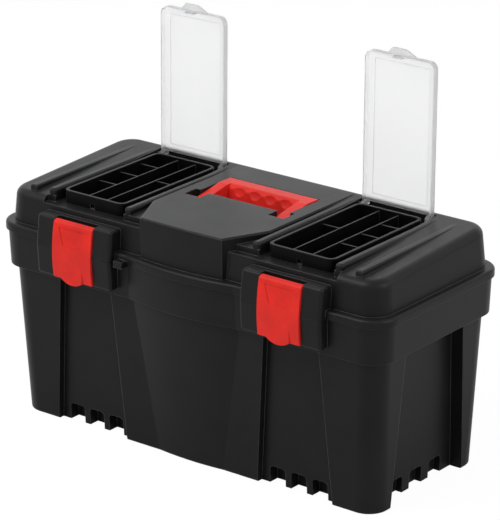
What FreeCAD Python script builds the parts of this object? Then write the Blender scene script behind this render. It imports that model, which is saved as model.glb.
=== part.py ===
"""Plastic tool box: a drafted tub, a hinged lid with two small-parts organizers under clear
covers, a folding carry handle and two front latches.

Frame: origin on the floor under the middle of the tub, +X along the length, -Y to the front,
+Z up. Millimetres. The pose is lid shut, latches shut, handle folded, organizer covers open.
"""
import FreeCAD, Part
import math
import os
import re
import Sketcher

# Driving dimensions, in millimetres and degrees
SIZES = [
    # Tub
    ("base_length", 555.0, "tub length at the floor"),
    ("base_width", 218.0, "tub width at the floor"),
    ("tub_height", 246.0, "floor to the parting line"),
    ("tub_flare", 10.5, "outward lean of each tub wall over its height"),
    ("tub_corner", 27.0, "plan radius of the tub corners"),
    ("wall", 2.8, "moulded wall of tub and lid"),
    ("tub_floor", 3.0, "tub floor"),
    ("foot_round", 3.0, "rounding of the tub's bottom edge"),
    ("lip_height", 199.0, "floor to the lower edge of the band"),
    ("band_step", 7.5, "band beyond the tub wall at its lower edge"),
    ("band_lean", 1.5, "outward lean of the band"),
    ("band_corner", 31.0, "plan radius of the band corners"),
    ("band_round", 1.2, "rounding of the band's lower edge"),
    # Bowed centre of the front
    ("bulge_half", 83.0, "half chord of the bowed front at the band"),
    ("bulge_rise", 9.5, "rise of the bowed front at the band"),
    ("base_bulge_half", 50.0, "half chord of the bowed front at the floor"),
    ("base_bulge_rise", 3.0, "rise of the bowed front at the floor"),
    # Recessed wall panels and the foot pockets under them
    ("bay_spacing", 320.0, "between the two bays: organizers, latches, panels, hinges"),
    ("panel_half", 41.0, "half width of a front panel under the band"),
    ("end_panel_half", 59.0, "half width of an end panel under the band"),
    ("panel_flare", 16.0, "widening of each panel side down to the floor"),
    ("panel_depth", 9.3, "panel recess, front and back"),
    ("end_panel_depth", 17.5, "panel recess, ends"),
    ("pocket_width", 23.5, "foot pocket width, front and back"),
    ("end_pocket_width", 25.0, "foot pocket width, ends"),
    ("pocket_height", 22.5, "foot pocket height"),
    ("pocket_depth", 14.5, "foot pocket depth behind the panel, front and back"),
    ("end_pocket_depth", 9.0, "foot pocket depth behind the panel, ends"),
    ("pocket_round", 5.0, "foot pocket corner radius"),
    ("pocket_pitch", 32.0, "foot pocket pitch, front and back"),
    ("end_pocket_pitch", 40.0, "foot pocket pitch, ends"),
    ("core_corner", 8.0, "plan radius of the tub behind its panels"),
    # Lid
    ("lid_gap", 0.4, "parting gap"),
    ("lid_height", 63.0, "parting line to the centre panel"),
    ("rim_height", 10.6, "rim bead height"),
    ("rim_overhang", 3.5, "rim bead beyond the band"),
    ("rim_step", 9.3, "rim bead beyond the lid wall"),
    ("rim_corner", 35.0, "plan radius of the rim corners"),
    ("rim_round", 4.0, "rounding of the rim bead"),
    ("lid_lean", 4.5, "inward lean of the lid wall over its height"),
    ("lid_corner", 28.0, "plan radius of the lid wall corners"),
    ("lid_edge", 11.0, "rounding of the lid's top edge"),
    ("deck_drop", 10.0, "fall of the deck from back to front"),
    ("ledge_drop", 17.5, "ledge in front of the organizers below the centre panel"),
    # Raised centre panel of the lid
    ("panel_front_half", 63.0, "half width of the centre panel at its front edge"),
    ("panel_front_back", 4.5, "front edge of the panel behind the bowed foot of its face"),
    ("panel_waist_half", 91.0, "half width of the centre panel behind its angled sides"),
    ("panel_waist", 58.0, "depth of the angled sides"),
    ("panel_rear_gap", 12.0, "centre panel to the lid's rear edge"),
    ("panel_edge", 1.6, "bevel of the centre panel's edges"),
    # Rails and ribs
    ("rail_gap", 8.5, "organizer bin to rail"),
    ("rail_width", 11.0, "rail width"),
    ("rail_round", 4.0, "rounding of the rail tops and noses"),
    ("rail_overrun", 8.0, "rail beyond the bin at the front"),
    ("rib_offset", 91.0, "outer rib from the middle of the bay"),
    ("rib_width", 10.0, "outer rib width"),
    ("rib_rise", 7.5, "outer rib height at its front end"),
    ("rib_round", 2.5, "rounding of the outer rib"),
    # Organizer bins and dividers
    ("bin_width", 94.0, "bin width"),
    ("bin_length", 182.0, "bin length"),
    ("bin_shift", -8.0, "middle of the bin from the middle of the lid"),
    ("bin_depth", 40.0, "bin depth"),
    ("bin_drop", 1.0, "bin rim below the centre panel"),
    ("bin_wall", 2.4, "bin wall and floor"),
    ("bin_corner", 9.0, "bin corner radius"),
    ("bin_rim_round", 0.8, "rounding of the bin's rim"),
    ("bin_collar", 2.0, "collar round the bin, above the ledge"),
    ("bin_play", 0.5, "bin in its opening, each side"),
    ("column_inner", 16.0, "inner partition from the middle of the bin"),
    ("column_outer", 12.6, "outer partition from the middle of the bin"),
    ("partition", 1.5, "partition and divider thickness"),
    ("partition_drop", 3.0, "partition tops below the bin rim"),
    ("divider_pitch", 41.0, "between dividers in the outer column"),
    ("divider_shift", 12.5, "middle divider from the middle of the bin"),
    ("divider_play", 0.05, "divider between its walls, each side"),
    ("catch_width", 7.0, "catch hole width"),
    ("catch_height", 6.0, "catch hole height"),
    ("catch_rise", 1.0, "catch hole above the ledge"),
    # Organizer covers
    ("cover_play", 0.5, "cover skirt to the bin's collar"),
    ("cover_skin", 1.5, "cover thickness"),
    ("cover_skirt", 8.0, "depth of the cover's skirt"),
    ("cover_round", 10.0, "cover corner radius"),
    ("cover_lift", 6.0, "cover underside above the hinge axis when shut"),
    ("cover_start", 4.0, "cover's rear edge from the hinge axis"),
    ("cover_field", 10.5, "border of the cover's stepped field"),
    ("cover_field_rise", 0.7, "step of the cover's field"),
    ("cover_lean", 0.8, "lean of the open cover past upright, degrees"),
    ("cover_axis_back", 11.5, "hinge axis behind the bin"),
    ("cover_axis_drop", 6.5, "hinge axis below the centre panel"),
    ("ear_width", 6.0, "cover ear width"),
    ("ear_radius", 4.5, "cover ear radius"),
    ("cover_pin", 2.0, "cover stub pin radius"),
    ("pin_bite", 4.0, "stub pin length in the rail"),
    ("tab_half", 23.5, "half width of the thumb tab at its root"),
    ("tab_tip", 9.5, "half width of the thumb tab at its tip"),
    ("tab_rise", 10.0, "thumb tab length"),
    ("tab_lean", 7.0, "thumb tab turned in at its tip"),
    ("tongue_half", 7.0, "half width of the cover's catch tongue"),
    ("tongue_drop", 6.5, "catch tongue below the cover's skirt"),
    ("running_fit", 0.06, "radial clearance of the running pins"),
    ("press_fit", 0.02, "radial clearance of the fixed pins"),
    # Carry handle
    ("handle_width", 137.0, "handle width over its arms"),
    ("arm_width", 14.5, "handle arm width"),
    ("arm_radius", 7.0, "rounding of the arm round its pivot"),
    ("arm_rise", 6.0, "rise of the arm from pivot to grip"),
    ("handle_reach", 71.5, "pivot to the back of the grip"),
    ("grip_depth", 25.0, "grip depth"),
    ("grip_height", 27.0, "grip height"),
    ("grip_slope", 3.0, "foot of the grip's front before its top"),
    ("grip_round", 5.0, "rounding of the grip"),
    ("grip_nose", 8.0, "rounding of the grip's front top edge"),
    ("scallop_radius", 22.0, "finger scallop radius"),
    ("scallop_ahead", 19.0, "middle of the finger scallops before the grip's top"),
    ("scallop_pitch", 24.0, "finger scallop pitch"),
    ("handle_axis_y", -12.0, "handle pivot from the middle of the lid"),
    ("handle_axis_drop", 14.0, "handle pivot below the centre panel"),
    ("handle_proud", 0.8, "grip top above the centre panel"),
    ("handle_play", 1.2, "handle in its well"),
    ("trunnion", 4.0, "handle trunnion radius"),
    ("pivot_pocket", 8.5, "pivot pocket beyond the arm"),
    ("pivot_pocket_front", 11.0, "pivot pocket in front of the axis"),
    ("pivot_pocket_back", 12.0, "pivot pocket behind the axis"),
    ("finger_well", 36.0, "depth of the finger well"),
    ("tongue_back", 8.0, "panel tongue behind the pivot axis"),
    # Latches and their bosses
    ("boss_width", 120.0, "latch boss width"),
    ("boss_reach", 14.5, "latch boss beyond the band at the parting line"),
    ("boss_taper", 5.0, "latch boss drawn in towards its ends"),
    ("boss_above", 38.5, "latch boss above the parting line"),
    ("boss_below", 39.0, "latch boss below the parting line"),
    ("boss_round", 4.5, "rounding of the latch boss"),
    ("latch_pin_bite", 6.0, "latch pin length in each side of the boss"),
    ("latch_width", 62.0, "latch width"),
    ("latch_play", 1.2, "latch in its notch, each side"),
    ("latch_axis_rise", 31.0, "latch pin above the parting line"),
    ("latch_axis_out", 6.5, "latch pin in front of the band"),
    ("latch_roll", 6.0, "radius of the latch's rolled top"),
    ("latch_drop", 68.0, "latch pin to the latch's lower edge"),
    ("latch_foot", 8.0, "front of the latch's lower edge before its pin"),
    ("latch_bow", 3.0, "bow of the latch's front"),
    ("latch_back_gap", 0.6, "latch sides clear of the notch floor"),
    ("latch_skin", 3.0, "latch wall"),
    ("latch_tongue", 33.0, "width of the latch's finger tongue"),
    ("latch_tongue_drop", 5.5, "finger tongue below the latch at its middle"),
    ("latch_lift", 9.8, "front of the finger tongue before the latch pin"),
    ("latch_dish", 0.7, "depth of the dish in the latch's front"),
    ("latch_dish_half", 22.0, "half width of the dish at its top"),
    ("latch_dish_foot_half", 14.0, "half width of the dish at its foot"),
    ("latch_dish_top", 2.0, "top of the dish below the latch pin"),
    ("latch_dish_foot", 24.0, "foot of the dish below the latch pin"),
    ("latch_pin", 2.0, "latch pin radius"),
    ("notch_cover", 0.8, "notch floor before the band"),
    ("notch_back", 2.0, "notch floor in the lid behind the band front"),
    ("keeper_width", 40.0, "latch keeper width"),
    ("keeper_height", 4.0, "latch keeper height"),
    ("keeper_reach", 4.0, "latch keeper before the notch floor"),
    ("keeper_rise", 4.0, "latch keeper above the latch's lower edge"),
    ("keeper_gap", 0.4, "latch lip clear of the keeper"),
    # Rear hinges
    ("hinge_out", 6.3, "hinge axis behind the rim"),
    ("knuckle_radius", 6.0, "hinge knuckle radius"),
    ("knuckle_length", 16.0, "hinge knuckle length"),
    ("knuckle_gap", 0.5, "between hinge knuckles"),
    ("knuckle_web", 12.0, "height of the web that carries a knuckle"),
    ("hinge_pin", 2.5, "hinge pin radius"),
    # Padlock eye
    ("eye_x", -88.0, "padlock eye from the middle"),
    ("eye_width", 13.0, "padlock eye width"),
    ("eye_out", 3.5, "padlock hole in front of the rim"),
    ("eye_height", 4.0, "padlock eye thickness, each half"),
    ("eye_hole", 3.0, "padlock hole radius"),
]

# Places that several pieces share, worked out from the driving dimensions
DERIVED = {
    "bay": "bay_spacing / 2",
    "lip_half_width": "base_width / 2 + tub_flare * lip_height / tub_height",
    "lip_half_length": "base_length / 2 + tub_flare * lip_height / tub_height",
    "band_half_width": "lip_half_width + band_step + band_lean",
    "band_half_length": "lip_half_length + band_step + band_lean",
    "rim_half_width": "band_half_width + rim_overhang",
    "rim_half_length": "band_half_length + rim_overhang",
    "lid_foot_half_width": "rim_half_width - rim_step",
    "lid_base": "tub_height + lid_gap",
    "lid_top": "tub_height + lid_height",
    "ledge": "lid_top - ledge_drop",
    "bin_top": "lid_top - bin_drop",
    "bin_base": "bin_top - bin_depth",
    "bin_front": "bin_shift - bin_length / 2",
    "bin_back": "bin_shift + bin_length / 2",
    "rail_inner": "bin_width / 2 + rail_gap",
    "rail_front": "bin_front - rail_overrun",
    "cover_axis_y": "bin_back + cover_axis_back",
    "cover_axis_z": "lid_top - cover_axis_drop",
    "rail_back": "cover_axis_y + cover_lift + cover_skin + cover_play",
    "cover_half": "bin_width / 2 + bin_collar + cover_play + cover_skin",
    "cover_length": "cover_axis_y - bin_front + bin_collar + cover_play + cover_skin",
    "handle_axis_z": "lid_top - handle_axis_drop",
    "handle_half": "handle_width / 2",
    "grip_back": "handle_axis_y + handle_reach",
    "grip_front": "grip_back - grip_depth",
    "grip_top": "lid_top + handle_proud",
    "well_half": "handle_half - arm_width - handle_play",
    "pocket_half": "handle_half + pivot_pocket",
    "latch_axis_y": "-(band_half_width + latch_axis_out)",
    "latch_axis_z": "tub_height + latch_axis_rise",
    "latch_foot_z": "latch_axis_z - latch_drop",
    "notch_half": "latch_width / 2 + latch_play",
    "notch_floor": "-(band_half_width + notch_cover)",
    "latch_back": "notch_floor - latch_back_gap - latch_axis_y",
    "keeper_front": "notch_floor - keeper_reach",
    "hinge_y": "rim_half_width + hinge_out",
    "hinge_z": "tub_height + lid_gap / 2",
    "eye_y": "-(rim_half_width + eye_out)",
}

BEYOND = "rim_half_length"

doc = FreeCAD.newDocument("tool_box")
sheet = doc.addObject("Spreadsheet::Sheet", "Sizes")
for row, (alias, number, note) in enumerate(SIZES, start=1):
    sheet.set(f"A{row}", note)
    sheet.set(f"B{row}", str(number))
    sheet.setAlias(f"B{row}", alias)
doc.recompute()

ALIASES = {alias for alias, number, note in SIZES}
PLANES = {
    "XY": (FreeCAD.Rotation(), "z"),
    "YZ": (FreeCAD.Rotation(FreeCAD.Vector(1, 1, 1), 120), "x"),
    "XZ": (FreeCAD.Rotation(FreeCAD.Vector(1, 0, 0), 90), "y"),
}
SIDES = (("left", -1), ("right", 1))
nodes = []


def formula(text):
    """Write out derived names and point the driving ones at the sheet."""
    def swap(match):
        word = match.group(0)
        if word in DERIVED:
            return "(" + formula(DERIVED[word]) + ")"
        return "Sizes." + word if word in ALIASES else word
    return re.sub(r"[a-z][a-z_0-9]*", swap, text)


def value(text):
    return float(sheet.evalExpression(formula(text)))


def tie(obj, **bindings):
    """Bind properties of an object, or x, y, z of its place, to formulas."""
    for name, text in bindings.items():
        path = "Placement.Base." + name if name in ("x", "y", "z") else name
        obj.setExpression(path, formula(text))
    return obj


def block(name, x, y, z):
    """Box between two formulas along each axis."""
    box = doc.addObject("Part::Box", name)
    tie(box, Length=f"({x[1]}) - ({x[0]})", Width=f"({y[1]}) - ({y[0]})", Height=f"({z[1]}) - ({z[0]})")
    return tie(box, x=x[0], y=y[0], z=z[0])


def rod(name, radius, x, y, z):
    """Round bar along X between two formulas."""
    bar = doc.addObject("Part::Cylinder", name)
    bar.Placement.Rotation = FreeCAD.Rotation(FreeCAD.Vector(0, 1, 0), 90)
    tie(bar, Radius=radius, Height=f"({x[1]}) - ({x[0]})")
    return tie(bar, x=x[0], y=y, z=z)


def post(name, radius, x, y, z):
    """Round bar along Z between two formulas."""
    bar = doc.addObject("Part::Cylinder", name)
    tie(bar, Radius=radius, Height=f"({z[1]}) - ({z[0]})")
    return tie(bar, x=x, y=y, z=z[0])


def ball(name, radius, x, y, z):
    globe = doc.addObject("Part::Sphere", name)
    return tie(globe, Radius=radius, x=x, y=y, z=z)


def profile(name, plane, at, corners):
    """Closed sketch through corners given as formulas; a third item is the radius of the arc to the next."""
    sketch = doc.addObject("Sketcher::SketchObject", name)
    rotation, axis = PLANES[plane]
    sketch.Placement.Rotation = rotation
    tie(sketch, **{axis: at})
    spots = [FreeCAD.Vector(value(corner[0]), value(corner[1]), 0) for corner in corners]
    starts = []
    for index, corner in enumerate(corners):
        here = spots[index]
        there = spots[(index + 1) % len(spots)]
        if len(corner) == 2:
            sketch.addGeometry(Part.LineSegment(here, there))
            starts.append(1)
            continue
        chord = there - here
        half = chord.Length / 2
        radius = value(corner[2])
        sag = radius - math.sqrt(max(radius * radius - half * half, 0.0))
        outward = FreeCAD.Vector(chord.y, -chord.x, 0).normalize()
        middle = (here + there) * 0.5 + outward * sag
        sketch.addGeometry(Part.Arc(here, middle, there))
        starts.append(1 if sketch.Geometry[index].StartPoint.isEqual(here, 1e-6) else 2)
    for index, corner in enumerate(corners):
        after = (index + 1) % len(corners)
        sketch.addConstraint(
            Sketcher.Constraint("Coincident", index, 3 - starts[index], after, starts[after]))
        for letter, kind, text in (("x", "DistanceX", corner[0]), ("y", "DistanceY", corner[1])):
            number = sketch.addConstraint(
                Sketcher.Constraint(kind, -1, 1, index, starts[index], value(text)))
            sketch.renameConstraint(number, f"{letter}{index}")
            sketch.setExpression(f"Constraints.{letter}{index}", formula(text))
        if len(corner) == 3:
            number = sketch.addConstraint(Sketcher.Constraint("Radius", index, value(corner[2])))
            sketch.renameConstraint(number, f"r{index}")
            sketch.setExpression(f"Constraints.r{index}", formula(corner[2]))
    return sketch


def extrude(name, sketch, forward, backward="0"):
    solid = doc.addObject("Part::Extrusion", name)
    solid.Base = sketch
    solid.DirMode = "Normal"
    solid.Solid = True
    return tie(solid, LengthFwd=forward, LengthRev=backward)


def loft(name, *sketches):
    solid = doc.addObject("Part::Loft", name)
    solid.Sections = list(sketches)
    solid.Solid = True
    solid.Ruled = True
    return solid


def fuse(name, *pieces):
    joined = doc.addObject("Part::MultiFuse", name)
    joined.Shapes = list(pieces)
    joined.Refine = True
    return joined


def cut(name, base, *tools):
    result = doc.addObject("Part::Cut", name)
    result.Base = base
    result.Tool = tools[0] if len(tools) == 1 else fuse(name + "_tools", *tools)
    result.Refine = True
    return result


def common(name, first, second):
    shared = doc.addObject("Part::Common", name)
    shared.Base = first
    shared.Tool = second
    shared.Refine = True
    return shared


def rounded(name, base, radius, chosen):
    """Round the edges whose middle point passes the test."""
    doc.recompute()
    size = value(radius)
    numbers = [
        number
        for number, edge in enumerate(base.Shape.Edges, start=1)
        if chosen(edge.valueAt((edge.FirstParameter + edge.LastParameter) / 2), edge)
    ]
    result = doc.addObject("Part::Fillet", name)
    result.Base = base
    result.Edges = [(number, size, size) for number in numbers]
    return result


def near(number, text):
    return abs(number - value(text)) < 1e-3


def node(label, obj):
    """Name a finished sub-part; its label is its file name."""
    obj.Label = label
    nodes.append(obj)
    return obj


def ring(name, z, half_length, half_width, corner, bulge_chord=None, bulge_height=None):
    """Rounded rectangle in plan at a height, with an optional bowed front."""
    length, width = f"({half_length})", f"({half_width})"
    inner_x, inner_y = f"({length} - ({corner}))", f"({width} - ({corner}))"
    front = [(f"-{inner_x}", f"-{width}")]
    if bulge_chord:
        radius = f"(({bulge_chord})^2 + ({bulge_height})^2) / (2 * ({bulge_height}))"
        front += [(f"-({bulge_chord})", f"-{width}", radius), (f"({bulge_chord})", f"-{width}")]
    return profile(name, "XY", z, front + [
        (inner_x, f"-{width}", corner),
        (length, f"-{inner_y}"),
        (length, inner_y, corner),
        (inner_x, width),
        (f"-{inner_x}", width, corner),
        (f"-{length}", inner_y),
        (f"-{length}", f"-{inner_y}", corner),
    ])


def tub_ring(name, z, side_inset, end_inset, corner):
    lean = f"tub_flare * ({z}) / tub_height"
    grown = f"({z}) / lip_height"
    return ring(
        name, z,
        f"base_length / 2 + {lean} - ({end_inset})", f"base_width / 2 + {lean} - ({side_inset})", corner,
        f"base_bulge_half + (bulge_half - base_bulge_half) * {grown}",
        f"base_bulge_rise + (bulge_rise - base_bulge_rise) * {grown}")


def tub_block(name, low, side_inset, end_inset, corner):
    """Solid with the tub's drafted walls moved in, from a height up to the parting line."""
    return loft(name, tub_ring(name + "_low", low, side_inset, end_inset, corner),
                tub_ring(name + "_high", "tub_height", side_inset, end_inset, corner))


def band_ring(name, z, inset):
    reach = f"band_step + band_lean * (({z}) - lip_height) / (tub_height - lip_height) - ({inset})"
    return ring(name, z, f"lip_half_length + {reach}", f"lip_half_width + {reach}",
                f"band_corner - ({inset})", "bulge_half", "bulge_rise")


def rim_ring(name, z, inset):
    return ring(name, z, f"rim_half_length - ({inset})", f"rim_half_width - ({inset})",
                f"rim_corner - ({inset})", "bulge_half", "bulge_rise")


def lid_ring(name, z, inset):
    step = f"rim_step + lid_lean * (({z}) - lid_base) / lid_height + ({inset})"
    return ring(name, z, f"rim_half_length - ({step})", f"rim_half_width - ({step})",
                f"lid_corner - ({inset})")


def lid_block(name, low, high, inset):
    return loft(name, lid_ring(name + "_low", low, inset), lid_ring(name + "_high", high, inset))


def panel_prisms(name, grow):
    """Trapezoid bars that mark the recessed panels right through the tub."""
    top = f"(panel_half + ({grow}))"
    foot = f"(panel_half + panel_flare + ({grow}))"
    end_top = f"(end_panel_half + ({grow}))"
    end_foot = f"(end_panel_half + panel_flare + ({grow}))"
    prisms = []
    for side, sign in SIDES:
        middle = f"{sign} * bay"
        sketch = profile(f"{name}_{side}_sketch", "XZ", "0", [
            (f"{middle} - {foot}", "0 - wall"),
            (f"{middle} + {foot}", "0 - wall"),
            (f"{middle} + {top}", f"lip_height + ({grow})"),
            (f"{middle} - {top}", f"lip_height + ({grow})"),
        ])
        prisms.append(extrude(f"{name}_{side}", sketch, BEYOND, BEYOND))
    sketch = profile(f"{name}_end_sketch", "YZ", "0", [
        (f"-{end_foot}", "0 - wall"),
        (end_foot, "0 - wall"),
        (end_top, f"lip_height + ({grow})"),
        (f"-{end_top}", f"lip_height + ({grow})"),
    ])
    prisms.append(extrude(f"{name}_end", sketch, BEYOND, BEYOND))
    return prisms


def pocket_prisms(name, grow):
    """Arched bars that mark the foot pockets right through the tub."""
    top = f"(pocket_height + ({grow}))"
    arch = f"(pocket_round + ({grow}))"
    spots = [("XZ", f"{sign} * bay + {step} * pocket_pitch", f"{side}_{step + 1}")
             for side, sign in SIDES for step in (-1, 0, 1)]
    spots += [("YZ", f"{step} * end_pocket_pitch", f"end_{step + 1}") for step in (-1, 0, 1)]
    prisms = []
    for plane, middle, tag in spots:
        width = "pocket_width" if plane == "XZ" else "end_pocket_width"
        half = f"({width} / 2 + ({grow}))"
        sketch = profile(f"{name}_{tag}_sketch", plane, "0", [
            (f"{middle} - {half}", "0 - wall"),
            (f"{middle} + {half}", "0 - wall"),
            (f"{middle} + {half}", f"{top} - {arch}", arch),
            (f"{middle} + {half} - {arch}", top),
            (f"{middle} - {half} + {arch}", top, arch),
            (f"{middle} - {half}", f"{top} - {arch}"),
        ])
        prisms.append(extrude(f"{name}_{tag}", sketch, BEYOND, BEYOND))
    return prisms


def stepped_tub(name, low, inset, grow):
    """Tub-shaped solid with panels and foot pockets stepped into its walls."""
    outer = tub_block(name + "_outer", low, inset, inset, f"tub_corner - ({inset})")
    if name == "tub_form":
        outer = rounded(name + "_feet", outer, "foot_round", lambda at, edge: near(at.z, low))
    core = tub_block(name + "_core", low, f"{inset} + panel_depth",
                     f"{inset} + end_panel_depth", "core_corner")
    deep = tub_block(name + "_deep", low, f"{inset} + panel_depth + pocket_depth",
                     f"{inset} + end_panel_depth + end_pocket_depth", "core_corner")
    posts = cut(name + "_posts", outer, *panel_prisms(name + "_panel", grow))
    panelled = fuse(name + "_panelled", core, posts)
    return fuse(name, deep, cut(name + "_lugs", panelled, *pocket_prisms(name + "_pocket", grow)))


def boss(name, sign, corners, back, parting):
    """Latch boss: a side profile run across its width, rounded all over but at its joins."""
    sketch = profile(name + "_sketch", "YZ", f"{sign} * bay - boss_width / 2", corners)
    bar = extrude(name + "_bar", sketch, "boss_width")
    return rounded(name, bar, "boss_round",
                   lambda at, edge: not near(at.y, back) and not near(at.z, parting))


def lower_boss(side, sign):
    face = "band_half_width + boss_reach"
    foot = "tub_height - boss_below"
    return boss(f"lower_boss_{side}", sign, [
        ("-lip_half_width", foot),
        ("-lip_half_width", "tub_height"),
        (f"-({face})", "tub_height"),
        (f"-({face} - boss_taper / 2)", foot),
    ], "-lip_half_width", "tub_height")


def upper_boss(side, sign):
    face = "band_half_width + boss_reach"
    head = "tub_height + boss_above"
    inside = "-(lid_foot_half_width - lid_lean - wall)"
    return boss(f"upper_boss_{side}", sign, [
        (inside, "lid_base"),
        (inside, head),
        (f"-({face} - boss_taper)", head),
        (f"-({face})", "lid_base"),
    ], inside, "lid_base")


def knuckle(name, start, end, web_y, web_z):
    """Hinge knuckle with the web that carries it."""
    eye = rod(name + "_eye", "knuckle_radius", (start, end), "hinge_y", "hinge_z")
    web = block(name + "_web", (start, end), (web_y, "hinge_y"), web_z)
    return fuse(name, eye, web)


def body_knuckles(side, sign):
    middle = f"{sign} * bay"
    near_end = "knuckle_length / 2 + knuckle_gap"
    far_end = "knuckle_length * 3 / 2 + knuckle_gap"
    web_z = ("tub_height - knuckle_web", "tub_height")
    return [
        knuckle(f"body_knuckle_{side}_1", f"{middle} - ({far_end})", f"{middle} - ({near_end})",
                "band_half_width - wall", web_z),
        knuckle(f"body_knuckle_{side}_2", f"{middle} + {near_end}", f"{middle} + {far_end}",
                "band_half_width - wall", web_z),
    ]


def lid_knuckle(side, sign):
    middle = f"{sign} * bay"
    return knuckle(f"lid_knuckle_{side}", f"{middle} - knuckle_length / 2", f"{middle} + knuckle_length / 2",
                   "rim_half_width - wall", ("lid_base", "lid_base + knuckle_radius"))


def eye_lug(name, z):
    """Half of the padlock eye: a lug in front of the rim."""
    return block(name, ("eye_x - eye_width / 2", "eye_x + eye_width / 2"),
                 ("eye_y - eye_width / 2", "-lip_half_width"), z)


def make_tub():
    form = stepped_tub("tub_form", "0", "0", "0")
    hollow = stepped_tub("tub_hollow", "tub_floor", "wall", "wall")
    band = loft("band_form", band_ring("band_low", "lip_height", "0"),
                band_ring("band_high", "tub_height", "0"))
    band = rounded("band_soft", band, "band_round", lambda at, edge: near(at.z, "lip_height"))
    channel = loft("channel_form", band_ring("channel_low", "lip_height", "wall"),
                   band_ring("channel_high", "tub_height - wall", "wall"))
    inside = tub_block("band_inside", "0", "0", "0", "tub_corner")
    skirt = cut("skirt", band, cut("channel", channel, inside))
    added = []
    notches = []
    for side, sign in SIDES:
        middle = f"{sign} * bay"
        added.append(lower_boss(side, sign))
        added += body_knuckles(side, sign)
        notches.append(block(f"body_notch_{side}", (f"{middle} - notch_half", f"{middle} + notch_half"),
                             ("-rim_half_length", "notch_floor"), ("0", "lid_top")))
        notches.append(rod(f"body_hinge_hole_{side}", "hinge_pin + press_fit",
                           (f"{middle} - knuckle_length * 2", f"{middle} + knuckle_length * 2"),
                           "hinge_y", "hinge_z"))
    added.append(eye_lug("body_eye", ("tub_height - eye_height", "tub_height")))
    notches.append(post("body_eye_hole", "eye_hole", "eye_x", "eye_y", ("lip_height", "lid_top")))
    shell = cut("tub_shell", fuse("tub_whole", form, skirt, *added), hollow, *notches)
    keepers = [
        block(f"keeper_{side}", (f"{sign} * bay - keeper_width / 2", f"{sign} * bay + keeper_width / 2"),
              ("keeper_front", "-lip_half_width"),
              ("latch_foot_z + keeper_rise", "latch_foot_z + keeper_rise + keeper_height"))
        for side, sign in SIDES
    ]
    return node("body_tub", fuse("tub", shell, *keepers))


def slope_tool(name, lower):
    """Everything above the sloping deck, lowered by an amount."""
    run = "(2 * (lid_foot_half_width - lid_lean))"
    far = "rim_half_width"
    middle = f"lid_top - deck_drop / 2 - ({lower})"
    rise = f"deck_drop * {far} / {run}"
    sketch = profile(name + "_sketch", "YZ", "0", [
        (f"-{far}", f"{middle} - {rise}"),
        (far, f"{middle} + {rise}"),
        (far, "lid_top + lid_height"),
        (f"-{far}", "lid_top + lid_height"),
    ])
    return extrude(name, sketch, BEYOND, BEYOND)


def centre_panel():
    """Raised panel with an angled front and bevelled edges; its face bows out down to the rim."""
    front_y = "-(lid_foot_half_width + bulge_rise - panel_front_back)"
    rear_y = "lid_foot_half_width - lid_lean - panel_rear_gap"
    waist_y = f"{front_y} + panel_waist"
    bow = "(bulge_rise * (panel_front_half / bulge_half)^2)"
    foot_y = f"-(lid_foot_half_width + bulge_rise - {bow})"
    crown = "panel_edge / 2"

    def plan(name, z, y, rise, inset):
        half, waist = f"(panel_front_half - {inset})", f"(panel_waist_half - {inset})"
        radius = f"({half}^2 + ({rise})^2) / (2 * ({rise}))"
        return profile(name, "XY", z, [
            (f"-{half}", f"{y} + {inset}", radius),
            (half, f"{y} + {inset}"),
            (waist, f"{waist_y} + {inset} / 2"),
            (waist, f"{rear_y} - {inset}"),
            (f"-{waist}", f"{rear_y} - {inset}"),
            (f"-{waist}", f"{waist_y} + {inset} / 2"),
        ])
    return loft(
        "panel_form",
        plan("panel_low", "lid_base", foot_y, bow, "0"),
        plan("panel_shoulder", "lid_top - panel_edge", front_y, crown, "0"),
        plan("panel_high", "lid_top", front_y, crown, "panel_edge"))


def rails(side, sign):
    """Round-topped rails on both sides of an organizer."""
    made = []
    for tag, hand in (("near", -sign), ("far", sign)):
        low, high = ("rail_inner", "rail_inner + rail_width") if hand > 0 else (
            "-(rail_inner + rail_width)", "-rail_inner")
        span = (f"{sign} * bay + {low}", f"{sign} * bay + {high}")
        name = f"rail_{side}_{tag}"
        bar = block(name, span, ("rail_front", "rail_back"), ("ledge - wall", "bin_top"))
        floor = value("ledge")
        made.append(rounded(name + "_soft", bar, "rail_round", lambda at, edge: near(at.z, "bin_top")
                            or (near(at.y, "rail_front") and at.z > floor)))
    return made


def outer_rib(side, sign):
    """Low rib along the outer deck, lost in the deck at the back."""
    front, back = "rail_front", "rail_back"
    front_top = "lid_top - deck_drop + rib_rise"
    sketch = profile(f"rib_{side}_sketch", "YZ", f"{sign} * (bay + rib_offset) - rib_width / 2", [
        (front, "ledge"),
        (back, "ledge"),
        (back, "bin_top"),
        (front, front_top),
    ])
    bar = extrude(f"rib_{side}", sketch, "rib_width")
    return rounded(f"rib_{side}_soft", bar, "rib_round",
                   lambda at, edge: at.z > value("lid_top - deck_drop") and at.y < value("bin_back"))


def organizer_bed(side, sign):
    """Room between the rails and on the ledge in front of an organizer."""
    middle = f"{sign} * bay"
    bed = block(f"bed_{side}", (f"{middle} - rail_inner", f"{middle} + rail_inner"),
                ("-rim_half_length", "rail_back"), ("ledge", "lid_top + lid_height"))
    inner = f"{sign} * panel_front_half"
    outer = f"{sign} * (bay + rail_inner + rail_width)"
    span = (inner, outer) if sign > 0 else (outer, inner)
    shelf = block(f"shelf_{side}", span,
                  ("-rim_half_length", "rail_front"), ("ledge", "lid_top + lid_height"))
    return [bed, shelf]


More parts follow.
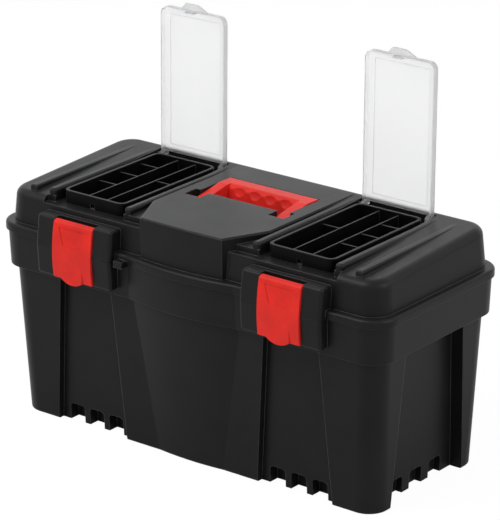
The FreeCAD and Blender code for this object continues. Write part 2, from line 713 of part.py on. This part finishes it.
def handle_room():
    """Cuts for the folded handle: grip channel, arm channels, pivot pockets and finger well."""
    above = "lid_top + lid_height"
    floor = "handle_axis_z - arm_radius - handle_play"
    front = "handle_axis_y - pivot_pocket_front"
    cuts = [
        block("finger_well", ("-(well_half)", "well_half"),
              ("handle_axis_y + tongue_back", "grip_back"), ("lid_top - finger_well", above)),
        block("grip_channel", ("-(handle_half + handle_play)", "handle_half + handle_play"),
              ("grip_front - grip_slope - handle_play", "grip_back + handle_play"),
              ("grip_top - grip_height - handle_play", above)),
    ]
    for side, sign in SIDES:
        inner, outer = "well_half", "handle_half + handle_play"
        span = (inner, outer) if sign > 0 else (f"-({outer})", f"-({inner})")
        cuts.append(block(f"arm_channel_{side}", span, (front, "grip_back"), (floor, above)))
        outer = "pocket_half"
        span = (inner, outer) if sign > 0 else (f"-({outer})", f"-({inner})")
        cuts.append(block(f"pivot_pocket_{side}", span,
                          (front, "handle_axis_y + pivot_pocket_back"), (floor, above)))
    cuts.append(rod("trunnion_hole", "trunnion + running_fit",
                    ("-(pocket_half + wall)", "pocket_half + wall"), "handle_axis_y", "handle_axis_z"))
    return cuts


def lid_hollow():
    """Room under the lid: it follows the deck and stays clear of beds and handle well."""
    room = cut("lid_room", lid_block("lid_inside", "lid_base - wall", "lid_top", "wall"),
               slope_tool("deck_under", "wall"))
    lowest = value("ledge - wall")
    room = rounded("lid_room_soft", room, "lid_edge - wall", lambda at, edge: at.z > lowest)
    keep = [block("handle_housing", ("-(pocket_half + 2 * wall)", "pocket_half + 2 * wall"),
                  ("handle_axis_y - pivot_pocket_front - wall", "grip_back + handle_play + wall"),
                  ("lid_top - finger_well - wall", "lid_top"))]
    for side, sign in SIDES:
        inner = f"{sign} * (panel_front_half - wall)"
        outer = f"{sign} * (bay + rail_inner + rail_width + wall)"
        span = (inner, outer) if sign > 0 else (outer, inner)
        keep.append(block(f"bed_floor_{side}", span, ("-rim_half_width", "rail_back + wall"),
                          ("ledge - wall", "lid_top")))
    under_panel = block("panel_room", ("-(panel_front_half - 2 * wall)", "panel_front_half - 2 * wall"),
                        ("-(lid_foot_half_width - wall)", "handle_axis_y - pivot_pocket_front - wall"),
                        ("lid_base", "lid_top - wall"))
    return fuse("lid_hollow", cut("lid_room_trimmed", room, *keep), under_panel)


def make_lid():
    rim = loft("rim_form", rim_ring("rim_low", "lid_base", "0"),
               rim_ring("rim_high", "lid_base + rim_height", "0"))
    rim = rounded("rim_soft", rim, "rim_round", lambda at, edge: near(at.z, "lid_base + rim_height"))
    gutter = cut("rim_gutter",
                 loft("gutter_form", rim_ring("gutter_low", "lid_base - wall", "wall"),
                      rim_ring("gutter_high", "lid_base + rim_height - wall", "wall")),
                 lid_block("gutter_inside", "lid_base - wall", "lid_top", "0"))
    dome = cut("lid_sloped", lid_block("lid_form", "lid_base", "lid_top + wall", "0"),
               slope_tool("deck_over", "0"))
    lowest = value("ledge")
    dome = rounded("lid_dome", dome, "lid_edge", lambda at, edge: at.z > lowest)
    beds = [cutter for side, sign in SIDES for cutter in organizer_bed(side, sign)]
    deck = cut("lid_deck", dome, *beds)
    added = [cut("rim", rim, gutter), deck, centre_panel()]
    openings = [lid_hollow()] + handle_room()
    for side, sign in SIDES:
        middle = f"{sign} * bay"
        added += rails(side, sign)
        added += [outer_rib(side, sign), upper_boss(side, sign), lid_knuckle(side, sign)]
        reach = "bin_width / 2 + bin_play"
        openings.append(block(f"bin_opening_{side}", (f"{middle} - ({reach})", f"{middle} + {reach}"),
                              ("bin_front - bin_play", "bin_back + bin_play"), ("lid_base", "lid_top")))
        openings.append(block(f"lid_notch_{side}", (f"{middle} - notch_half", f"{middle} + notch_half"),
                              ("-rim_half_length", "-(band_half_width - notch_back)"),
                              ("tub_height", "lid_top")))
        for name, radius, reach, place in (
                ("latch_hole", "latch_pin + press_fit", "notch_half + latch_pin_bite", "latch_axis"),
                ("lid_hinge_hole", "hinge_pin + running_fit", "knuckle_length", "hinge"),
                ("cover_hole", "cover_pin + running_fit", "rail_inner + pin_bite", "cover_axis")):
            openings.append(rod(f"{name}_{side}", radius, (f"{middle} - ({reach})", f"{middle} + {reach}"),
                                place + "_y", place + "_z"))
    added.append(eye_lug("lid_eye", ("lid_base", "lid_base + eye_height")))
    openings.append(post("lid_eye_hole", "eye_hole", "eye_x", "eye_y", ("lip_height", "lid_top")))
    return node("lid_shell", cut("lid", fuse("lid_whole", *added), *openings))


def columns(sign):
    """Column sides of an organizer, from the inner wall outwards, as formulas from the bay's middle."""
    wall_face = "bin_width / 2 - bin_wall"
    faces = [
        (f"-({wall_face})", "-(column_inner + partition / 2)"),
        ("-(column_inner - partition / 2)", "column_outer - partition / 2"),
        ("column_outer + partition / 2", wall_face),
    ]
    spans = [(f"{sign} * bay + {sign} * ({low})", f"{sign} * bay + {sign} * ({high})") for low, high in faces]
    return spans if sign > 0 else [(high, low) for low, high in spans]


def make_bin(side, sign):
    middle = f"{sign} * bay"

    def tray(name, inset, low, high):
        """Round-cornered block as large as the bin, less an inset."""
        half = f"(bin_width / 2 - {inset})"
        bar = block(name + "_bar", (f"{middle} - {half}", f"{middle} + {half}"),
                    (f"bin_front + {inset}", f"bin_back - {inset}"), (low, high))
        upright = value("bin_wall")
        return rounded(name, bar, f"bin_corner - {inset}", lambda at, edge: edge.BoundBox.ZLength > upright)
    outside = tray(f"bin_{side}_outside", "0", "bin_base", "bin_top")
    inside = tray(f"bin_{side}_inside", "bin_wall", "bin_base + bin_wall", "lid_top")
    collar = tray(f"bin_{side}_collar", "(-bin_collar)", "ledge", "bin_top")
    catch = block(f"bin_{side}_catch", (f"{middle} - catch_width / 2", f"{middle} + catch_width / 2"),
                  ("bin_front - bin_collar - bin_wall", "bin_front + bin_wall * 2"),
                  ("ledge + catch_rise", "ledge + catch_rise + catch_height"))
    shell = cut(f"bin_{side}_shell", fuse(f"bin_{side}_whole", outside, collar), inside, catch)
    shell = rounded(f"bin_{side}_rim", shell, "bin_rim_round", lambda at, edge: near(at.z, "bin_top"))
    partitions = [
        block(f"bin_{side}_partition_{number}",
              (f"{middle} + {sign} * ({x}) - partition / 2", f"{middle} + {sign} * ({x}) + partition / 2"),
              ("bin_front + bin_wall / 2", "bin_back - bin_wall / 2"),
              ("bin_base + bin_wall / 2", "bin_top - partition_drop"))
        for number, x in enumerate(("-column_inner", "column_outer"), start=1)
    ]
    node(f"organizer_bin_{side}", fuse(f"bin_{side}", shell, *partitions))


def make_dividers(side, sign):
    inner, _, outer = columns(sign)
    middle = "bin_shift + divider_shift"
    places = [(outer, f"{middle} + {step} * divider_pitch") for step in (-1, 0, 1)] + [(inner, middle)]
    for number, (span, y) in enumerate(places, start=1):
        plate = block(f"plate_{side}_{number}", (f"{span[0]} + divider_play", f"{span[1]} - divider_play"),
                      (f"{y} - partition / 2", f"{y} + partition / 2"),
                      ("bin_base + bin_wall + divider_play", "bin_top - partition_drop - partition"))
        node(f"divider_{side}_{number}", plate)


def make_cover(side, sign):
    """Clear cover, drawn upright about its hinge axis and then leaned back."""
    back = "cover_lift + cover_skin"
    front = f"{back} - cover_skirt"

    def plan(name, at, inset, low):
        half, top, arc = f"(cover_half - {inset})", f"(cover_length - {inset})", f"(cover_round - {inset})"
        return profile(name, "XZ", at, [
            (f"-{half}", low),
            (half, low),
            (half, f"{top} - {arc}", arc),
            (f"{half} - {arc}", top),
            (f"-{half} + {arc}", top, arc),
            (f"-{half}", f"{top} - {arc}"),
        ])
    outer = plan(f"cover_{side}_plan", back, "0", "cover_start")
    outer = extrude(f"cover_{side}_outer", outer, "cover_skirt")
    inner = plan(f"cover_{side}_room", "cover_lift", "cover_skin", "0")
    inner = extrude(f"cover_{side}_inner", inner, "cover_skirt")
    tray = cut(f"cover_{side}_tray", outer, inner)
    field_x = ("-(cover_half - cover_field)", "cover_half - cover_field")
    field_z = ("cover_start + cover_field", "cover_length - cover_field")
    field = block(f"cover_{side}_field", field_x, ("cover_lift", f"{back} + cover_field_rise"), field_z)
    dish = block(f"cover_{side}_dish", field_x, (front, "cover_lift + cover_field_rise"), field_z)
    plate = cut(f"cover_{side}_plate", fuse(f"cover_{side}_stepped", tray, field), dish)
    tab = loft(f"cover_{side}_tab", *[
        profile(f"cover_{side}_tab_{end}", "XY", height, [
            (f"-{half}", f"{face} - cover_skin"),
            (half, f"{face} - cover_skin"),
            (half, face),
            (f"-{half}", face),
        ])
        for end, height, half, face in (
            ("root", "cover_length - cover_skin", "tab_half", back),
            ("tip", "cover_length + tab_rise", "tab_tip", f"{back} - tab_lean"))
    ])
    tongue = block(f"cover_{side}_tongue", ("-tongue_half", "tongue_half"), (f"{front} - tongue_drop", back),
                   ("cover_length - cover_skin", "cover_length"))
    pieces = [plate, tab, tongue]
    for tag, hand in SIDES:
        inner_x, outer_x = "cover_half - ear_width", "cover_half"
        span = (inner_x, outer_x) if hand > 0 else (f"-({outer_x})", f"-({inner_x})")
        pieces.append(rod(f"cover_{side}_ear_{tag}", "ear_radius", span, "0", "0"))
        pieces.append(block(f"cover_{side}_arm_{tag}", span, (front, back),
                            ("0", "cover_start + cover_skin")))
        outer_x = "rail_inner + pin_bite - cover_play"
        span = (inner_x, outer_x) if hand > 0 else (f"-({outer_x})", f"-({inner_x})")
        pieces.append(rod(f"cover_{side}_pin_{tag}", "cover_pin", span, "0", "0"))
    cover = fuse(f"cover_{side}", *pieces)
    cover.Placement.Rotation = FreeCAD.Rotation(FreeCAD.Vector(-1, 0, 0), value("cover_lean"))
    cover.setExpression("Placement.Rotation.Angle", formula("cover_lean"))
    node(f"organizer_cover_{side}", tie(cover, x=f"{sign} * bay", y="cover_axis_y", z="cover_axis_z"))


def make_handle():
    axis_y, axis_z = "handle_axis_y", "handle_axis_z"
    arm = [
        (axis_y, f"{axis_z} - arm_radius"),
        ("grip_front + grip_nose", f"{axis_z} - arm_radius + arm_rise"),
        ("grip_front + grip_nose", "grip_top"),
        ("grip_front", "grip_top"),
        (axis_y, f"{axis_z} + arm_radius", "arm_radius"),
        (f"{axis_y} - arm_radius", axis_z, "arm_radius"),
    ]
    foot = "grip_top - grip_height"
    grip = profile("grip_sketch", "YZ", "-handle_half", [
        ("grip_front - grip_slope + grip_round", foot),
        ("grip_back - grip_round", foot, "grip_round"),
        ("grip_back", f"{foot} + grip_round"),
        ("grip_back", "grip_top - grip_round / 2", "grip_round / 2"),
        ("grip_back - grip_round / 2", "grip_top"),
        ("grip_front + grip_nose", "grip_top", "grip_nose"),
        ("grip_front", "grip_top - grip_nose"),
        ("grip_front - grip_slope", f"{foot} + grip_round", "grip_round"),
    ])
    scallops = [
        ball(f"scallop_{number}", "scallop_radius", f"{number - 2.5} * scallop_pitch",
             "grip_front - scallop_ahead", "grip_top")
        for number in (1, 2, 3, 4)
    ]
    pieces = [cut("grip_scalloped", extrude("grip", grip, "handle_width"), *scallops)]
    for side, sign in SIDES:
        start = "handle_half - arm_width" if sign > 0 else "-handle_half"
        pieces.append(extrude(f"arm_{side}", profile(f"arm_{side}_sketch", "YZ", start, arm), "arm_width"))
        inner, outer = "handle_half - arm_width / 2", "pocket_half + wall - running_fit"
        span = (inner, outer) if sign > 0 else (f"-({outer})", f"-({inner})")
        pieces.append(rod(f"trunnion_{side}", "trunnion", span, axis_y, axis_z))
    node("handle", fuse("handle_form", *pieces))


def latch_dish(side, bow_radius):
    """Shallow dish that follows the bowed front of a latch and narrows downwards."""
    ahead = "latch_foot + 2 * latch_bow"
    skin = profile(f"latch_{side}_dish_skin_sketch", "YZ", "-latch_width / 2", [
        ("latch_dish - latch_roll", "0", bow_radius),
        ("latch_dish - latch_foot", "-latch_drop"),
        (f"-({ahead})", "-latch_drop"),
        (f"-({ahead})", "0"),
    ])
    outline = profile(f"latch_{side}_dish_sketch", "XZ", "0", [
        ("-latch_dish_foot_half", "-latch_dish_foot"),
        ("latch_dish_foot_half", "-latch_dish_foot"),
        ("latch_dish_half", "-latch_dish_top"),
        ("-latch_dish_half", "-latch_dish_top"),
    ])
    return common(f"latch_{side}_dish", extrude(f"latch_{side}_dish_skin", skin, "latch_width"),
                  extrude(f"latch_{side}_dish_outline", outline, ahead))


def make_latch(side, sign):
    """Latch drawn about its pin: rolled top, bowed front, open back, finger tongue."""
    drop = "latch_drop"
    bow_radius = "((latch_drop / 2)^2 + latch_bow^2) / (2 * latch_bow)"
    lip = "keeper_front - keeper_gap - latch_axis_y"
    step_z = f"-({drop} - keeper_rise - keeper_height - latch_skin)"
    outline = [
        ("0", "latch_roll", "latch_roll"),
        ("-latch_roll", "0", bow_radius),
        ("-latch_foot", f"-{drop}"),
        (lip, f"-{drop}"),
        (lip, step_z),
        ("latch_back", f"{step_z} + latch_skin"),
        ("latch_back", "-latch_foot"),
        ("latch_roll", "0", "latch_roll"),
    ]
    half = "latch_width / 2"
    body = profile(f"latch_{side}_sketch", "YZ", f"-{half}", outline)
    body = extrude(f"latch_{side}_body", body, "latch_width")
    room = profile(f"latch_{side}_room_sketch", "YZ", f"-({half} - latch_skin)", [
        ("-(latch_roll - latch_skin)", "-latch_foot", bow_radius),
        ("-(latch_foot - latch_skin)", f"-({drop} - latch_skin)"),
        ("latch_roll", f"-({drop} - latch_skin)"),
        ("latch_roll", "-latch_foot"),
    ])
    room = extrude(f"latch_{side}_room", room, "latch_width - 2 * latch_skin")
    edge_x = "(latch_tongue / 2)"
    tongue = profile(f"latch_{side}_tongue_sketch", "XZ", "-(latch_foot - latch_skin)", [
        (f"-{edge_x}", f"-{drop}", f"({edge_x}^2 + latch_tongue_drop^2) / (2 * latch_tongue_drop)"),
        (edge_x, f"-{drop}"),
        (edge_x, f"-{drop} / 2"),
        (f"-{edge_x}", f"-{drop} / 2"),
    ])
    tongue = extrude(f"latch_{side}_tongue", tongue, "latch_lift - latch_foot + latch_skin")
    dish = latch_dish(side, bow_radius)
    bore = rod(f"latch_{side}_bore", "latch_pin + running_fit",
               (f"-{half} - wall", f"{half} + wall"), "0", "0")
    latch = fuse(f"latch_{side}_form", cut(f"latch_{side}_shell", body, room, bore, dish), tongue)
    node(f"latch_{side}", tie(latch, x=f"{sign} * bay", y="latch_axis_y", z="latch_axis_z"))
    reach = "notch_half + latch_pin_bite - press_fit"
    pin = rod(f"latch_pin_{side}_form", "latch_pin", (f"{sign} * bay - ({reach})", f"{sign} * bay + {reach}"),
              "latch_axis_y", "latch_axis_z")
    node(f"latch_pin_{side}", pin)


def make_hinge_pin(side, sign):
    reach = "knuckle_length * 3 / 2 + knuckle_gap"
    pin = rod(f"hinge_pin_{side}_form", "hinge_pin", (f"{sign} * bay - ({reach})", f"{sign} * bay + {reach}"),
              "hinge_y", "hinge_z")
    node(f"hinge_pin_{side}", pin)


def write_nodes():
    """Check every object, then write one file per sub-part."""
    doc.recompute()
    for obj in doc.Objects:
        if "Invalid" in obj.State or "Error" in obj.State:
            raise RuntimeError(f"{obj.Name} failed: {obj.State}")
    for obj in nodes:
        if obj.Shape.isNull() or not obj.Shape.isValid() or not obj.Shape.Solids:
            raise RuntimeError(f"{obj.Label} has no valid solid")
    os.makedirs("parts", exist_ok=True)
    for obj in nodes:
        obj.Shape.exportStep(f"parts/{obj.Label}.step")
        box = obj.Shape.BoundBox
        print(f"{obj.Label}: {len(obj.Shape.Solids)} solid, {obj.Shape.Volume / 1000:.1f} cm3,"
              f" {box.XLength:.1f} x {box.YLength:.1f} x {box.ZLength:.1f} mm")


make_tub()
make_lid()
make_handle()
for side, sign in SIDES:
    make_bin(side, sign)
    make_dividers(side, sign)
    make_cover(side, sign)
    make_latch(side, sign)
    make_hinge_pin(side, sign)
write_nodes()
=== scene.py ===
import bpy
from mathutils import Matrix, Vector

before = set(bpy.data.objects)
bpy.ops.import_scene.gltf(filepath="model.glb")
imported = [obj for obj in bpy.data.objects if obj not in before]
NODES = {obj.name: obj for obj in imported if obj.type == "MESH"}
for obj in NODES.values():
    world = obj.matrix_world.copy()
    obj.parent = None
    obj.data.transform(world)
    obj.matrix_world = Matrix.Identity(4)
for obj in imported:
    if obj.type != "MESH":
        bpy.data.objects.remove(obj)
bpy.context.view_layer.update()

# Camera fitted to the photograph, in metres
CAMERA_AT = (2.2310, -2.8401, 1.5693)
CAMERA_RIGHT = (0.7879, 0.6159, -0.0021)
CAMERA_UP = (-0.2123, 0.2748, 0.9378)
CAMERA_BACK = (0.5781, -0.7384, 0.3473)
FOCAL_PIXELS = 3119.88
IMAGE_HEIGHT = 520.0
SENSOR = 36.0
CLIP_END = 30.0

# Soft light from all round, and the white that the eye sees behind the object
FILL = 0.38
WHITE = (1.0, 1.0, 1.0, 1.0)

# Floor: the share of it that glows white to the eye, while the rest keeps the shadow
FLOOR_SIZE = 14.0
FLOOR_GREY = (0.9, 0.9, 0.9, 1.0)
FLOOR_GLOW = 1.04
FLOOR_SHARE = 0.92

# Moulded surfaces: scale of slow clouds and of fine mottle, and how far the clouds change the tone
CLOUD_SCALE = 22.0
MOTTLE_SCALE = 260.0
CLOUD_TONES = (0.82, 1.14)

# Cosines of the turn at which the painted line on an edge (highlight on black, shade on red and on the
# covers) starts to show, and at which it is full
EDGE_START = 0.975
PLASTIC_EDGE_FULL = 0.65
COVER_EDGE_FULL = 0.7

# Height of the parting line, and the distances from it between which edges go from no painted highlight
# to the full painted highlight
PARTING = 0.2462
PARTING_CLEAR = (0.0015, 0.003)

# Power of the gloss that grows towards grazing views
GLANCE_POWER = 4.0

# Covers: radius of their edges, and tints of the milky body, of the painted shade on the skirt's outside
# and of the painted shade lines on those edges
COVER_EDGE_RADIUS = 0.0006
MILK_TINTS = ((0.955, 0.957, 0.96, 1.0), (0.985, 0.986, 0.987, 1.0))
SKIRT_PAINTED_SHADE = (0.74, 0.743, 0.748, 1.0)
COVER_EDGE_PAINTED_SHADE = (0.6, 0.605, 0.61, 1.0)

# Wire: stretch of its drawn lines, and the tints between them
WIRE_STRETCH = (20.0, 2500.0, 2500.0)
WIRE_TINTS = ((0.5, 0.5, 0.52, 1.0), (0.68, 0.68, 0.7, 1.0))


class Shader:
    """Small helper that adds and links the nodes of one material."""

    def __init__(self, name):
        self.material = bpy.data.materials.new(name)
        self.material.use_nodes = True
        self.tree = self.material.node_tree
        self.tree.nodes.clear()
        self.output = self.add("ShaderNodeOutputMaterial")

    def add(self, kind, inputs=None, **settings):
        item = self.tree.nodes.new(kind)
        for key, setting in settings.items():
            setattr(item, key, setting)
        for key, source in (inputs or {}).items():
            self.feed(item.inputs[key], source)
        return item

    def feed(self, socket, source):
        if isinstance(source, bpy.types.NodeSocket):
            self.tree.links.new(source, socket)
        else:
            socket.default_value = source

    def math(self, operation, first, second=0.0):
        item = self.add("ShaderNodeMath", {0: first, 1: second}, operation=operation)
        return item.outputs[0]

    def noise(self, coords, scale, detail, roughness):
        item = self.add("ShaderNodeTexNoise",
                        {"Vector": coords, "Scale": scale, "Detail": detail, "Roughness": roughness})
        return item.outputs["Fac"]

    def span(self, value, low, high, to_low, to_high):
        item = self.add("ShaderNodeMapRange", {"Value": value, "From Min": low, "From Max": high,
                                               "To Min": to_low, "To Max": to_high}, clamp=True)
        return item.outputs["Result"]

    def blend(self, factor, first, second):
        item = self.add("ShaderNodeMix", data_type="RGBA")
        self.feed(item.inputs["Factor"], factor)
        self.feed(item.inputs["A"], first)
        self.feed(item.inputs["B"], second)
        return item.outputs["Result"]

    def finish(self, surface):
        self.tree.links.new(surface, self.output.inputs["Surface"])
        return self.material


def painted_edge_mask(shader, radius, full):
    """Mask that is 1 on sharp edges, where the materials paint highlight and shade lines, and the
    softened normal that finds them.
    """
    soft = shader.add("ShaderNodeBevel", {"Radius": radius}, samples=6)
    plain = shader.add("ShaderNodeNewGeometry")
    aligned = shader.add("ShaderNodeVectorMath", {0: soft.outputs["Normal"], 1: plain.outputs["Normal"]},
                         operation="DOT_PRODUCT")
    mask = shader.span(aligned.outputs["Value"], full, EDGE_START, 1.0, 0.0)
    return mask, soft.outputs["Normal"]


def moulded_plastic(name, colour, painted_edge_colour, roughness, grain, grain_depth, specular, glance, edge, seam=None):
    """Injection-moulded plastic: fine spark grain, uneven sheen, grazing gloss, and sharp edges tinted as
    a painted highlight where the edge colour is lighter and as painted shade where it is darker.
    """
    shader = Shader(name)
    coords = shader.add("ShaderNodeTexCoord").outputs["Object"]
    cloud = shader.noise(coords, CLOUD_SCALE, 4.0, 0.6)
    mottle = shader.noise(coords, MOTTLE_SCALE, 3.0, 0.55)
    fine = shader.noise(coords, grain, 2.0, 0.6)
    painted_edge, normal = painted_edge_mask(shader, edge, PLASTIC_EDGE_FULL)
    # Painted light on sharp edges: a lighter edge colour paints a highlight and a darker one paints
    # shade, broken up by the mottle
    painted_edge_spots = shader.math("MULTIPLY", painted_edge, shader.span(mottle, 0.3, 0.6, 0.45, 1.0))
    if seam is not None:
        # Near the parting line the painted edge highlight is left off, so the seam stays dark
        level = shader.add("ShaderNodeSeparateXYZ", {"Vector": coords}).outputs["Z"]
        away = shader.math("ABSOLUTE", shader.math("SUBTRACT", level, seam))
        painted_edge_spots = shader.math("MULTIPLY", painted_edge_spots, shader.span(away, *PARTING_CLEAR, 0.0, 1.0))
    dark, light = [tuple(min(1.0, channel * tone) for channel in colour) + (1.0,) for tone in CLOUD_TONES]
    body = shader.blend(shader.span(cloud, 0.3, 0.7, 0.0, 1.0), dark, light)
    paint = shader.blend(painted_edge_spots, body, painted_edge_colour)
    sheen = shader.span(cloud, 0.25, 0.75, roughness - 0.05, roughness + 0.05)
    speckle = shader.span(fine, 0.3, 0.7, -0.04, 0.04)
    rough = shader.math("SUBTRACT", shader.math("ADD", sheen, speckle),
                        shader.math("MULTIPLY", painted_edge_spots, 0.08))
    height = shader.math("ADD", fine, shader.math("MULTIPLY", mottle, 0.5))
    bump = shader.add("ShaderNodeBump", {"Height": height, "Normal": normal, "Strength": grain_depth,
                                         "Distance": 0.0003})
    surface = shader.add("ShaderNodeBsdfPrincipled", {
        "Base Color": paint, "Roughness": rough, "Normal": bump.outputs["Normal"],
        "Specular IOR Level": specular})
    facing = shader.add("ShaderNodeLayerWeight", {"Blend": 0.5, "Normal": normal}).outputs["Facing"]
    share = shader.math("MULTIPLY", shader.math("POWER", facing, GLANCE_POWER), glance)
    gloss = shader.add("ShaderNodeBsdfGlossy", {"Color": WHITE, "Roughness": rough,
                                                "Normal": bump.outputs["Normal"]})
    mix = shader.add("ShaderNodeMixShader",
                     {"Fac": share, 1: surface.outputs["BSDF"], 2: gloss.outputs["BSDF"]})
    return shader.finish(mix.outputs["Shader"])


def frosted_plastic(name):
    """Milky clear plastic, with painted shade that greys the outside of its skirt and draws lines along
    its moulded edges.
    """
    shader = Shader(name)
    place = shader.add("ShaderNodeTexCoord")
    coords = place.outputs["Object"]
    fine = shader.noise(coords, 900.0, 2.0, 0.5)
    cloud = shader.noise(coords, 14.0, 3.0, 0.5)
    painted_edge, normal = painted_edge_mask(shader, COVER_EDGE_RADIUS, COVER_EDGE_FULL)
    outward = shader.add("ShaderNodeVectorMath", {0: place.outputs["Generated"], 1: (0.5, 0.5, 0.5)},
                         operation="SUBTRACT").outputs["Vector"]
    across = shader.add("ShaderNodeVectorMath", {0: outward, 1: (1.0, 0.0, 1.0)},
                        operation="MULTIPLY").outputs["Vector"]
    # Outward faces of the skirt get painted shade
    skirt = shader.add("ShaderNodeVectorMath", {0: across, 1: place.outputs["Normal"]},
                       operation="DOT_PRODUCT").outputs["Value"]
    milk = shader.blend(shader.span(cloud, 0.3, 0.7, 0.0, 1.0), *MILK_TINTS)
    walls = shader.blend(shader.span(skirt, 0.2, 0.4, 0.0, 1.0), milk, SKIRT_PAINTED_SHADE)
    # Painted shade lines along the moulded edges, where the cover's steps would show
    tint = shader.blend(shader.math("MULTIPLY", painted_edge, 0.6), walls, COVER_EDGE_PAINTED_SHADE)
    rough = shader.math("SUBTRACT", shader.span(fine, 0.3, 0.7, 0.34, 0.46),
                        shader.math("MULTIPLY", painted_edge, 0.12))
    bump = shader.add("ShaderNodeBump", {"Height": fine, "Normal": normal, "Strength": 0.1,
                                         "Distance": 0.0002})
    surface = shader.add("ShaderNodeBsdfPrincipled", {
        "Base Color": tint, "Roughness": rough, "Normal": bump.outputs["Normal"],
        "Transmission Weight": 0.93, "IOR": 1.4})
    return shader.finish(surface.outputs["BSDF"])


def drawn_steel(name):
    """Bright drawn wire with fine lines along its length."""
    shader = Shader(name)
    coords = shader.add("ShaderNodeTexCoord").outputs["Object"]
    stretched = shader.add("ShaderNodeMapping", {"Vector": coords, "Scale": WIRE_STRETCH})
    lines = shader.noise(stretched.outputs["Vector"], 1.0, 3.0, 0.6)
    tint = shader.blend(lines, *WIRE_TINTS)
    bump = shader.add("ShaderNodeBump", {"Height": lines, "Strength": 0.15, "Distance": 0.0001})
    surface = shader.add("ShaderNodeBsdfPrincipled", {
        "Base Color": tint, "Metallic": 1.0, "Roughness": shader.span(lines, 0.2, 0.8, 0.26, 0.42),
        "Normal": bump.outputs["Normal"]})
    return shader.finish(surface.outputs["BSDF"])


def dress(material, *names):
    """Give CAD nodes a material."""
    for name in names:
        mesh = NODES[name].data
        mesh.materials.clear()
        mesh.materials.append(material)


def both(stem):
    """Names of the left and the right copy."""
    return [f"{stem}_left", f"{stem}_right"]


# Light edge colour: painted highlight on sharp edges
BLACK = moulded_plastic(
    "black_plastic", (0.0085, 0.0085, 0.0091), (0.18, 0.18, 0.183, 1.0), roughness=0.38,
    grain=2300.0, grain_depth=0.2, specular=0.15, glance=0.148, edge=0.0012, seam=PARTING)
# Base colour darker than the tub's, partly the bin's own plastic and partly painted shade that deepens
# the cells; light edge colour: painted highlight on the rims
BIN_BLACK = moulded_plastic(
    "bin_plastic", (0.0032, 0.0032, 0.0038), (0.3, 0.3, 0.305, 1.0), roughness=0.36,
    grain=3200.0, grain_depth=0.12, specular=0.06, glance=0.2, edge=0.001)
# Darker edge colour: painted shade along creases and edges
RED = moulded_plastic(
    "red_plastic", (0.8, 0.025, 0.017), (0.5, 0.013, 0.01, 1.0), roughness=0.4,
    grain=2600.0, grain_depth=0.1, specular=0.15, glance=0.14, edge=0.0009)
CLEAR = frosted_plastic("clear_plastic")
STEEL = drawn_steel("steel")

dress(BLACK, "body_tub", "lid_shell")
dress(BIN_BLACK, *both("organizer_bin"))
dress(BIN_BLACK, *[f"divider_{side}_{number}" for side in ("left", "right") for number in (1, 2, 3, 4)])
dress(RED, "handle", *both("latch"))
dress(CLEAR, *both("organizer_cover"))
dress(STEEL, *both("latch_pin"), *both("hinge_pin"))


def seen_rays(tree, *kinds):
    """1 for the named kinds of ray, 0 for the rest."""
    path = tree.nodes.new("ShaderNodeLightPath")
    total = path.outputs[kinds[0]]
    for kind in kinds[1:]:
        item = tree.nodes.new("ShaderNodeMath")
        item.operation = "MAXIMUM"
        tree.links.new(total, item.inputs[0])
        tree.links.new(path.outputs[kind], item.inputs[1])
        total = item.outputs[0]
    return total


def make_world():
    """White to the eye and in reflections, and a dimmer fill for what it lights."""
    world = bpy.data.worlds.new("studio")
    bpy.context.scene.world = world
    world.use_nodes = True
    tree = world.node_tree
    tree.nodes.clear()
    seen = tree.nodes.new("ShaderNodeBackground")
    fill = tree.nodes.new("ShaderNodeBackground")
    for back, strength in ((seen, 1.0), (fill, FILL)):
        back.inputs["Color"].default_value = WHITE
        back.inputs["Strength"].default_value = strength
    mix = tree.nodes.new("ShaderNodeMixShader")
    output = tree.nodes.new("ShaderNodeOutputWorld")
    white = seen_rays(tree, "Is Camera Ray", "Is Glossy Ray", "Is Transmission Ray")
    tree.links.new(white, mix.inputs["Fac"])
    tree.links.new(fill.outputs[0], mix.inputs[1])
    tree.links.new(seen.outputs[0], mix.inputs[2])
    tree.links.new(mix.outputs[0], output.inputs["Surface"])


def make_floor():
    """Pale floor that stays white to the eye and keeps a soft shadow."""
    bpy.ops.mesh.primitive_plane_add(size=FLOOR_SIZE, location=(0.0, 0.0, 0.0))
    floor = bpy.context.object
    floor.name = "floor"
    shader = Shader("floor")
    matte = shader.add("ShaderNodeBsdfDiffuse", {"Color": FLOOR_GREY})
    glow = shader.add("ShaderNodeEmission", {"Color": WHITE, "Strength": FLOOR_GLOW})
    eye = seen_rays(shader.tree, "Is Camera Ray", "Is Transmission Ray")
    share = shader.math("MULTIPLY", eye, FLOOR_SHARE)
    mix = shader.add("ShaderNodeMixShader", {"Fac": share, 1: matte.outputs[0], 2: glow.outputs[0]})
    floor.data.materials.append(shader.finish(mix.outputs[0]))


def make_light(name, at, toward, size, power):
    """Round soft light, aimed at a point."""
    data = bpy.data.lights.new(name, "AREA")
    data.shape = "DISK"
    data.size = size
    data.energy = power
    lamp = bpy.data.objects.new(name, data)
    bpy.context.collection.objects.link(lamp)
    lamp.location = at
    aim = Vector(toward) - Vector(at)
    lamp.rotation_euler = aim.to_track_quat("-Z", "Y").to_euler()


def make_camera():
    """The photograph's camera, from its fitted place and axes."""
    data = bpy.data.cameras.new("camera")
    data.sensor_width = SENSOR
    data.lens = FOCAL_PIXELS * SENSOR / IMAGE_HEIGHT
    data.clip_end = CLIP_END
    camera = bpy.data.objects.new("camera", data)
    bpy.context.collection.objects.link(camera)
    axes = Matrix((CAMERA_RIGHT, CAMERA_UP, CAMERA_BACK)).transposed()
    camera.matrix_world = Matrix.Translation(CAMERA_AT) @ axes.to_4x4()
    bpy.context.scene.camera = camera


make_world()
make_floor()
make_light("key", at=(-0.9, -1.6, 2.4), toward=(0.0, 0.0, 0.2), size=1.8, power=42.0)
make_light("side", at=(2.4, 0.2, 1.5), toward=(0.0, 0.0, 0.15), size=1.5, power=20.0)
make_camera()
bpy.context.scene.view_settings.view_transform = "Standard"
